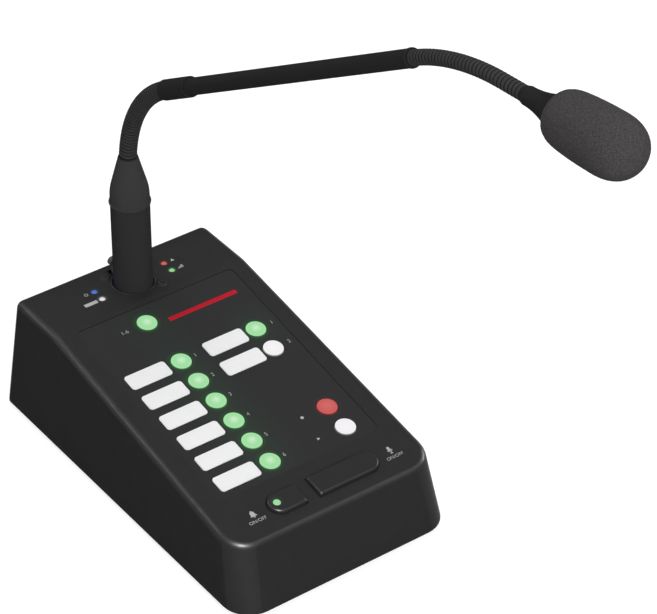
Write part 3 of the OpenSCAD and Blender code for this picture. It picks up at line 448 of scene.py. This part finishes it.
# Finishes of the CAD pieces
abs_black = moulded_abs("moulded_abs", MATT)
key_black = key_abs("key_abs", MATT)
green_lens = lit_silicone("lit_silicone_green", core="#d2efd0", half="#a2e0a4", rim="#a8e4aa",
                          edge="#2f5e37", glow=0.95, base="#16301a")
white_lens = lit_silicone("lit_silicone_white", core="#f6f4f6", half="#f4f2f4", rim="#f2f0f2",
                          edge="#6a686a", glow=0.8, base="#6e6c6d")
red_lens = lit_silicone("lit_silicone_red", core="#cc6e6a", half="#cb6462", rim="#c95a5a",
                        edge="#6a2c2c", glow=0.95, base="#34110f")
rubber = moulded_rubber()
coat = powder_coat("powder_coat", "#2a2a2b", [])
steel = zinc_plate()
board = circuit_board()
nylon = black_nylon()
gold = gold_plate()
label = label_film()

FINISHES = {
    "top_cover": abs_black, "base_plate": abs_black, "rubber_feet": rubber, "base_screws": steel,
    "overlay_panel": panel_film(), "record_button": red_lens,
    "message_button_2": white_lens, "play_button": white_lens,
    "chime_light": lamp_lens("lamp_lens_chime", "#a3e3a8", "#16301a"), "key_board": board,
    "key_switches": nylon, "key_lamps": ivory_lamp(), "light_board": board, "main_board": board,
    "power_light": lamp_lens("lamp_lens_blue", "#5b7cc6", "#141c34"),
    "ready_light": lamp_lens("lamp_lens_white", "#e4e4e6", "#464648"),
    "clip_light": lamp_lens("lamp_lens_red", "#c86e68", "#34110f"),
    "signal_light": lamp_lens("lamp_lens_green", "#a0d8a4", "#16301a"),
    "socket_shell": shell_lacquer(), "socket_insert": nylon, "socket_contacts": gold,
    "socket_latch": grey_nylon(), "latch_spring": steel, "socket_screws": black_oxide(),
    "link_socket": nylon, "board_screws": steel, "plug_insert": nylon, "plug_pins": gold,
    "plug_barrel": powder_coat("powder_coat_barrel", "#323232", BARREL_SPILL), "neck_boot": boot_nylon(),
    "arm_sleeve": coat, "arm_tube": coat, "head_boot": rubber, "mic_capsule": coat,
}
for key in FRONT_KEYS:
    FINISHES[key] = key_black
for button in GREEN_BUTTONS:
    FINISHES[button] = green_lens
for plate in LABELS:
    FINISHES[plate] = label

WELD_GAP = 0.002 * MM
SMOOTH_ANGLE = math.radians(32)
FLAT_WEIGHT = 60
EDGE_TURN = math.radians(14)
BOOT_MOUTH = 0.5 * MM


def dress_cad_nodes():
    """Gives each CAD node its finish, and shades its rounded faces smoothly."""
    for name, material in FINISHES.items():
        piece = nodes[name]
        piece.data.materials.clear()
        piece.data.materials.append(material)
        weld = piece.modifiers.new("weld", "WELD")
        weld.merge_threshold = WELD_GAP
        for face in piece.data.polygons:
            face.use_smooth = True
        split = piece.modifiers.new("sharp_edges", "EDGE_SPLIT")
        split.split_angle = SMOOTH_ANGLE
        weighted = piece.modifiers.new("weighted_normals", "WEIGHTED_NORMAL")
        weighted.weight = FLAT_WEIGHT


def polish_edges(name, material, flat_share):
    """Gives the polished finish to faces well turned from every flat of at least this share of the piece."""
    mesh = nodes[name].data
    mesh.materials.append(material)
    areas = {}
    for face in mesh.polygons:
        way = tuple(round(c, 2) for c in face.normal)
        areas[way] = areas.get(way, 0) + face.area
    flats = [Vector(way) for way, area in areas.items() if area > flat_share * sum(areas.values())]
    for face in mesh.polygons:
        if all(face.normal.angle(flat) > EDGE_TURN for flat in flats):
            face.material_index = 1


def shade_boot_mouth():
    """The boot's mouth lies in the hose's shade, so it takes the duller rubber's tone."""
    boot = nodes["neck_boot"].data
    boot.materials.append(rubber)
    for face in boot.polygons:
        if face.center.z > boot_top - BOOT_MOUTH:
            face.material_index = 1


dress_cad_nodes()
polish_edges("top_cover", moulded_abs("moulded_abs_edges", EDGE_GLOSS), flat_share=0.02)
key_edges = key_abs("key_abs_edges", EDGE_GLOSS)
for key in FRONT_KEYS:
    polish_edges(key, key_edges, flat_share=0.06)
boot_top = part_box("neck_boot")[1].z
shade_boot_mouth()


def new_piece(name, verts, faces, material, smooth=True):
    mesh = bpy.data.meshes.new(name)
    mesh.from_pydata(verts, [], faces)
    mesh.update()
    for face in mesh.polygons:
        face.use_smooth = smooth
    mesh.materials.append(material)
    piece = bpy.data.objects.new(name, mesh)
    bpy.context.scene.collection.objects.link(piece)
    return piece


def latch_coil():
    """A copy of the latch's spring, which sits between the base and the latch, shown in place of the CAD
    spring.
    """
    coil = bpy.data.objects.new("latch_coil", nodes["latch_spring"].data.copy())
    bpy.context.scene.collection.objects.link(coil)
    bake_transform(coil)
    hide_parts("latch_spring")


latch_coil()

# Gooseneck hoses
HOSE_SIDES = 48
RINGS_PER_RIB = 8
SPIGOT_INSET = 0.65 * MM
SPIGOT_L = 4 * MM
LOWER_GAP = 0.75 * MM
UPPER_GAP = 0.3 * MM
END_GAP = 0.3 * MM
GROOVE_FROM = 0.9


def heading_dir(heading):
    return Vector((0, -math.sin(heading), math.cos(heading)))


def bend(start, heading_from, heading_to, radius):
    return start + radius * Vector((0, math.cos(heading_to) - math.cos(heading_from),
                                    math.sin(heading_to) - math.sin(heading_from)))


class NeckLine:
    """A hose's centre line: an arc from one heading to another, then a straight stretch."""

    def __init__(self, start, heading_from, heading_to, radius, straight=0.0):
        self.start = start
        self.heading_from = heading_from
        self.heading_to = heading_to
        self.radius = radius
        self.arc = radius * (heading_to - heading_from)
        self.length = self.arc + straight

    def heading(self, s):
        return self.heading_from + min(max(s, 0), self.arc) / self.radius

    def point(self, s):
        if s < 0:
            return self.start + s * heading_dir(self.heading_from)
        bent = bend(self.start, self.heading_from, self.heading(s), self.radius)
        return bent + max(s - self.arc, 0) * heading_dir(self.heading_to)


lower_line = NeckLine(Vector((0, middle("neck_boot").y, boot_top)), BOOT_LEAN, ARM_HEADING, LOWER_BEND_R)
arm_start = lower_line.point(lower_line.length)
upper_line = NeckLine(arm_start + ARM_L * heading_dir(ARM_HEADING), ARM_HEADING, HEAD_HEADING,
                      UPPER_BEND_R, UPPER_STRAIGHT)


def skin(rows, sides):
    """Faces of a closed skin over rows of vertices, with a cap on its first and its last row."""
    faces = []
    for i in range(rows - 1):
        for j in range(sides):
            k = (j + 1) % sides
            faces.append((i * sides + j, i * sides + k, (i + 1) * sides + k, (i + 1) * sides + j))
    last = (rows - 1) * sides
    faces.append(tuple(reversed(range(sides))))
    faces.append(tuple(range(last, last + sides)))
    return faces


def tube_mesh(line, rings):
    """A closed tube through rings of (place along the line, radius)."""
    verts = []
    for s, radius in rings:
        heading = line.heading(s)
        outward = Vector((0, math.cos(heading), math.sin(heading)))
        centre = line.point(s)
        for j in range(HOSE_SIDES):
            a = 2 * math.pi * j / HOSE_SIDES
            verts.append(centre + radius * (math.cos(a) * ACROSS + math.sin(a) * outward))
    return verts, skin(len(rings), HOSE_SIDES)


def rib_rings(first, last, crest):
    """Rounded ribs from one place on a hose to another."""
    count = max(1, round((last - first) / RIB_PITCH))
    pitch = (last - first) / count
    rings = []
    for i in range(count):
        for k in range(RINGS_PER_RIB):
            u = 2 * k / RINGS_PER_RIB - 1
            rings.append((first + (i + k / RINGS_PER_RIB) * pitch,
                          crest - RIB_DEPTH * (1 - math.sqrt(1 - u * u))))
    rings.append((last, crest - RIB_DEPTH))
    return rings


def hose(names, line, diameter, gap, node, bodies):
    """A ribbed hose in two halves that meet on a rib's crest."""
    crest = diameter / 2
    spigot = crest - SPIGOT_INSET
    end = line.length - END_GAP
    inner = [(-SPIGOT_L, spigot), (gap, spigot)]
    outer = [(end, spigot), (line.length + SPIGOT_L, spigot)]
    ribs = rib_rings(gap, end, crest)
    meet = len(ribs) // RINGS_PER_RIB // 2 * RINGS_PER_RIB + RINGS_PER_RIB // 2
    half = ribs[meet][0]
    halves = (inner + ribs[:meet + 1], ribs[meet:] + outer)
    ends = ((0, half), (half, line.length))
    for name, rings, (first, last), (body_a, body_b) in zip(names, halves, ends, zip(bodies, bodies[1:])):
        piece = new_piece(name, *tube_mesh(line, rings), hose_ribs)
        piece.data.materials.append(hose_groove_painted_shade)
        # Faces down in the grooves take the darker copy of the coat: painted shade
        for i, (ring, after) in enumerate(zip(rings, rings[1:])):
            if spigot < min(ring[1], after[1]) < crest - GROOVE_FROM * RIB_DEPTH:
                for face in piece.data.polygons[i * HOSE_SIDES:(i + 1) * HOSE_SIDES]:
                    face.material_index = 1
        for cap in piece.data.polygons[-2:]:
            cap.use_smooth = False
        line.point(first)
        line.point(last)
        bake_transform(piece)
        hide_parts(node)


hose_ribs = hose_coat("hose_ribs", "#3a3a3b", "#3e3e3f")
# A darker copy of the coat for the grooves: painted shade
hose_groove_painted_shade = hose_coat("hose_groove_painted_shade", "#1f1f1f", "#232323")
hose(("lower_hose_foot", "lower_hose_top"), lower_line, LOWER_HOSE_D, LOWER_GAP, "lower_flex",
     ("plug", "lower_neck", "arm"))
hose(("upper_hose_foot", "upper_hose_top"), upper_line, UPPER_HOSE_D, UPPER_GAP, "upper_flex",
     ("arm", "upper_neck", "head"))

# Foam windscreen
FOAM_BACK_R = 0.83 * FOAM_R
FOAM_BACK_ROUND = 2.5 * MM
FOAM_BELLY = 0.63 * FOAM_L
FOAM_NOSE_POWER = 2.4
FOAM_LIP = 0.3 * MM
FOAM_TIP_R = 0.1 * MM
FOAM_STEP = 0.5 * MM
FOAM_SIDES = 168
PORE_PITCH = 1.0 * MM
PORE_DEPTH = 0.16 * MM
PORE_SHARE = 0.6
QUARTER_STEPS = 24


def foam_outline():
    """Points (radius, place along the head) from the bore's edge at the back to the nose."""
    points = [(FOAM_BORE_R + FOAM_LIP, 0)]
    for i in range(QUARTER_STEPS + 1):
        a = math.radians(-90 + 90 * i / QUARTER_STEPS)
        points.append((FOAM_BACK_R + FOAM_BACK_ROUND * (math.cos(a) - 1),
                       FOAM_BACK_ROUND * (1 + math.sin(a))))
    for i in range(1, QUARTER_STEPS + 1):
        a = math.radians(90 * i / QUARTER_STEPS)
        points.append((FOAM_BACK_R + (FOAM_R - FOAM_BACK_R) * math.sin(a),
                       FOAM_BACK_ROUND + (FOAM_BELLY - FOAM_BACK_ROUND) * (1 - math.cos(a))))
    for i in range(1, 2 * QUARTER_STEPS):
        a = math.radians(45 * i / QUARTER_STEPS)
        points.append((FOAM_R * math.cos(a) ** (2 / FOAM_NOSE_POWER),
                       FOAM_BELLY + (FOAM_L - FOAM_BELLY) * math.sin(a) ** (2 / FOAM_NOSE_POWER)))
    points.append((FOAM_TIP_R, FOAM_L))
    return points


def even_steps(points, step):
    """The same line with points a step apart."""
    spaced = [Vector(points[0])]
    left = step
    for a, b in zip(points, points[1:]):
        a, b = Vector(a), Vector(b)
        run = (b - a).length
        while left <= run:
            spaced.append(a.lerp(b, left / run))
            left += step
        left -= run
    return spaced


def foam_windscreen(material):
    """The foam, with its pores sunk into the surface, around the bore that takes the microphone."""
    along = heading_dir(HEAD_HEADING)
    outward = Vector((0, math.cos(HEAD_HEADING), math.sin(HEAD_HEADING)))
    origin = upper_line.point(upper_line.length) + (FLARE_L + FOAM_SETBACK) * along
    bore = [Vector((FOAM_TIP_R, FOAM_BORE_L)), Vector((FOAM_BORE_R, FOAM_BORE_L)), Vector((FOAM_BORE_R, 0))]
    profile = bore + even_steps(foam_outline(), FOAM_STEP)
    verts = []
    for i, (radius, place) in enumerate(profile):
        before, after = profile[max(i - 1, 0)], profile[min(i + 1, len(profile) - 1)]
        slope = (after - before).normalized()
        for j in range(FOAM_SIDES):
            a = 2 * math.pi * j / FOAM_SIDES
            spoke = math.cos(a) * ACROSS + math.sin(a) * outward
            point = origin + radius * spoke + place * along
            if i >= len(bore):
                face = slope.y * spoke - slope.x * along
                pore = noise.voronoi(point / PORE_PITCH)[0][0]
                point -= face * PORE_DEPTH * (1 - min(pore / PORE_SHARE, 1))
            verts.append(point)
    piece = new_piece("foam_cover", verts, skin(len(profile), FOAM_SIDES), material)
    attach(piece, "head")
    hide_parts("foam_windscreen")


foam_windscreen(windscreen_foam())

# Print: plain numbers, common signs and ON/OFF, in ink that stands a little above the surface
INK_MM = 0.06
THINNING_MM = 0.02
CAP_SHARE = 0.73
NUMBER_MM = 2.4
SWITCH_WORD_MM = 2


def beside(name, right_mm, down_mm=0.0, plane=PANEL_TOP):
    """A frame on the panel, or on the deck around it, beside a button or a key."""
    point = middle(name) + (ACROSS * right_mm - UP_DECK * down_mm) * MM
    foot = point + DECK_NORMAL * (plane - DECK_NORMAL.dot(point))
    turn = Matrix((ACROSS, UP_DECK, DECK_NORMAL)).transposed().to_4x4()
    return Matrix.Translation(foot) @ turn


def beside_light(name, right_mm, down_mm=0.0):
    """A frame on the shelf, beside a status light."""
    at = middle(name)
    return Matrix.Translation((at.x + right_mm * MM, at.y - down_mm * MM, SHELF_TOP))


def lettering(words, height_mm):
    """Words or numbers as a mesh in millimetres, centred on the origin."""
    curve = bpy.data.curves.new("lettering", "FONT")
    curve.body = words
    curve.size = height_mm / CAP_SHARE
    curve.align_x = "CENTER"
    curve.align_y = "CENTER"
    curve.extrude = INK_MM / 2
    curve.offset = -THINNING_MM
    shown = bpy.data.objects.new("lettering", curve)
    bpy.context.scene.collection.objects.link(shown)
    bpy.context.view_layer.update()
    mesh = bpy.data.meshes.new_from_object(shown.evaluated_get(bpy.context.evaluated_depsgraph_get()))
    bpy.data.objects.remove(shown)
    bpy.data.curves.remove(curve)
    return mesh


def shape(*outlines):
    """Flat outlines as a mesh in millimetres, as thick as the ink."""
    mesh = bpy.data.meshes.new("shape")
    verts, faces = [], []
    for outline in outlines:
        first, count = len(verts), len(outline)
        verts += [(x, y, -INK_MM / 2) for x, y in outline] + [(x, y, INK_MM / 2) for x, y in outline]
        faces.append(tuple(reversed(range(first, first + count))))
        faces.append(tuple(range(first + count, first + 2 * count)))
        for i in range(count):
            k = (i + 1) % count
            faces.append((first + i, first + k, first + count + k, first + count + i))
    mesh.from_pydata(verts, [], faces)
    return mesh


# Signs, drawn in millimetres about their own middle, with turns in degrees


def arc_points(x, y, r, start, end, steps=16):
    turns = [math.radians(start + (end - start) * i / steps) for i in range(steps + 1)]
    return [(x + r * math.cos(a), y + r * math.sin(a)) for a in turns]


def band(x, y, r, thick, start, end):
    return arc_points(x, y, r, start, end) + arc_points(x, y, r - thick, end, start)


def bar(x, y, w, h):
    return [(x - w / 2, y - h / 2), (x + w / 2, y - h / 2), (x + w / 2, y + h / 2), (x - w / 2, y + h / 2)]


def bell_sign():
    dome = arc_points(0, 0.7, 1.2, 0, 180)
    skirt = [(-1.3, -0.5), (-2, -1.3), (2, -1.3), (1.3, -0.5)]
    clapper = arc_points(0, -1.55, 0.6, 180, 360)
    return shape(dome + skirt, clapper, bar(0, 2.1, 0.5, 0.5))


def microphone_sign():
    body = arc_points(0, 1.5, 0.75, 0, 180) + arc_points(0, 0.1, 0.75, 180, 360)
    cradle = band(0, 0.2, 1.5, 0.35, 180, 360)
    return shape(body, cradle, bar(0, -1.7, 0.35, 0.9), bar(0, -2.2, 1.6, 0.35))


def power_sign():
    return shape(band(0, 0, 1.1, 0.3, 125, 415), bar(0, 0.75, 0.3, 1.2))


def level_sign():
    return shape(*[bar(-1.2 + 0.9 * i, (0.6 + 0.6 * i) / 2 - 1, 0.55, 0.6 + 0.6 * i) for i in range(4)])


def peak_sign():
    return shape([(-1.1, -0.9), (1.1, -0.9), (0, 1)])


def record_sign():
    return shape(arc_points(0, 0, 0.9, 0, 345, steps=23))


def play_sign():
    return shape([(-0.7, -0.9), (0.9, 0), (-0.7, 0.9)])


def print_piece(name, material, marks):
    """One piece of print from (mesh in millimetres, place) pairs."""
    joined = bmesh.new()
    for mesh, place in marks:
        mesh.transform(place @ Matrix.Scale(MM, 4))
        joined.from_mesh(mesh)
        bpy.data.meshes.remove(mesh)
    data = bpy.data.meshes.new(name)
    joined.to_mesh(data)
    joined.free()
    data.materials.clear()
    data.materials.append(material)
    piece = bpy.data.objects.new(name, data)
    bpy.context.scene.collection.objects.link(piece)
    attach(piece, "base")


white_ink = screen_ink("white_ink", "#b2b2b4", "#a0a0a2")
panel_marks = [(lettering("1-6", NUMBER_MM), beside("all_zones_button", right_mm=-13.5, down_mm=0.4))]
panel_marks += [(lettering(str(i), NUMBER_MM), beside(button, right_mm=8.8))
                for i, button in enumerate(ZONE_BUTTONS, start=1)]
panel_marks += [(lettering(str(i), NUMBER_MM), beside(f"message_button_{i}", right_mm=10))
                for i in (1, 2)]
panel_marks += [(record_sign(), beside("record_button", right_mm=-15.2)),
                (play_sign(), beside("play_button", right_mm=-16.3))]
print_piece("panel_print", white_ink, panel_marks)

print_piece("front_print", white_ink, [
    (bell_sign(), beside("chime_key", right_mm=-18.1, down_mm=-0.6, plane=DECK_TOP)),
    (lettering("ON/OFF", SWITCH_WORD_MM), beside("chime_key", right_mm=-18.1, down_mm=4, plane=DECK_TOP)),
    (microphone_sign(), beside("talk_key", right_mm=28.4, down_mm=-0.8, plane=DECK_TOP)),
    (lettering("ON/OFF", SWITCH_WORD_MM), beside("talk_key", right_mm=28.4, down_mm=4, plane=DECK_TOP))])

GREY_BAR_MM = (7.6, 2.5)
print_piece("shelf_print", white_ink, [
    (power_sign(), beside_light("power_light", right_mm=-5)),
    (shape(bar(0, 0, *GREY_BAR_MM)), beside_light("ready_light", right_mm=-7, down_mm=0.4)),
    (peak_sign(), beside_light("clip_light", right_mm=5)),
    (level_sign(), beside_light("signal_light", right_mm=5))])

RED_BAR_MM = (41.6, 2.7)
print_piece("red_bar", screen_ink("red_ink", "#b3202c", "#a01c28"), [
    (shape(bar(0, 0, *RED_BAR_MM)), beside("all_zones_button", right_mm=32.2, down_mm=3.7))])

# Stage: pale floor, soft lights
FLOOR_HALF = 6
FLOOR_LIFT = 0.75
WORLD_LEVEL = 0.35
WHITE = (1, 1, 1, 1)


def background_rays(tree):
    """1 for the rays that show the background: straight from the camera, off gloss or through glass."""
    rays = add(tree, "LightPath").outputs
    seen = add(tree, "Math", {0: rays["Is Camera Ray"], 1: rays["Is Glossy Ray"]}, operation="MAXIMUM")
    seen = add(tree, "Math", {0: seen.outputs["Value"], 1: rays["Is Transmission Ray"]},
               operation="MAXIMUM")
    return seen.outputs["Value"]


def pale_floor():
    """Matt grey card, lifted so that it shows white and keeps a soft shadow of the object."""
    material, tree, shader = finish("pale_floor", "#a0a0a0", roughness=0.9, Specular_IOR_Level=MATT)
    lift = add(tree, "Math", {0: background_rays(tree), 1: FLOOR_LIFT}, operation="MULTIPLY")
    tree.links.new(lift.outputs["Value"], shader.inputs["Emission Strength"])
    shader.inputs["Emission Color"].default_value = WHITE
    return material


def light_world():
    world = bpy.data.worlds.new("studio")
    world.use_nodes = True
    tree = world.node_tree
    level = add(tree, "MapRange", {"Value": background_rays(tree), "To Min": WORLD_LEVEL, "To Max": 1.0})
    background = tree.nodes["Background"]
    background.inputs["Color"].default_value = WHITE
    tree.links.new(level.outputs["Result"], background.inputs["Strength"])
    bpy.context.scene.world = world


def softbox(name, at, aim, size, watts):
    data = bpy.data.lights.new(name, "AREA")
    data.shape = "SQUARE"
    data.size = size
    data.energy = watts
    lamp = bpy.data.objects.new(name, data)
    lamp.location = at
    lamp.rotation_euler = (Vector(aim) - Vector(at)).to_track_quat("-Z", "Y").to_euler()
    bpy.context.scene.collection.objects.link(lamp)
    return lamp


floor = new_piece("floor", [(-FLOOR_HALF, -FLOOR_HALF, 0), (FLOOR_HALF, -FLOOR_HALF, 0),
                            (FLOOR_HALF, FLOOR_HALF, 0), (-FLOOR_HALF, FLOOR_HALF, 0)],
                  [(0, 1, 2, 3)], pale_floor(), smooth=False)
light_world()
softbox("key_softbox", at=(-0.15, -1.5, 1.0), aim=(0, -0.02, 0.06), size=0.4, watts=14)
softbox("top_softbox", at=(0.2, 0.9, 1.6), aim=(0, 0, 0.1), size=1.4, watts=19)
softbox("side_softbox", at=(1.3, -0.7, 0.9), aim=(0, 0, 0.05), size=0.6, watts=5)
softbox("left_softbox", at=(-1.4, -0.6, 0.5), aim=(0, 0, 0.05), size=0.8, watts=7)

# Lamps that show in gloss alone: (side, place, size, watts)
GLOSS_SOFTBOXES = (("left", (-0.75, -1.1, 1.15), 0.45, 1500),
                   ("front", (0.73, -0.87, 1.27), 1.0, 45),
                   ("back", (-0.85, 0.77, 0.95), 0.5, 60),
                   ("right", (1.6, -0.1, 0.42), 0.6, 115))
for side, at, size, watts in GLOSS_SOFTBOXES:
    gloss = softbox(f"gloss_softbox_{side}", at=at, aim=(0, -0.05, 0.05), size=size, watts=watts)
    gloss.visible_diffuse = False

bpy.context.scene.view_settings.view_transform = "Standard"
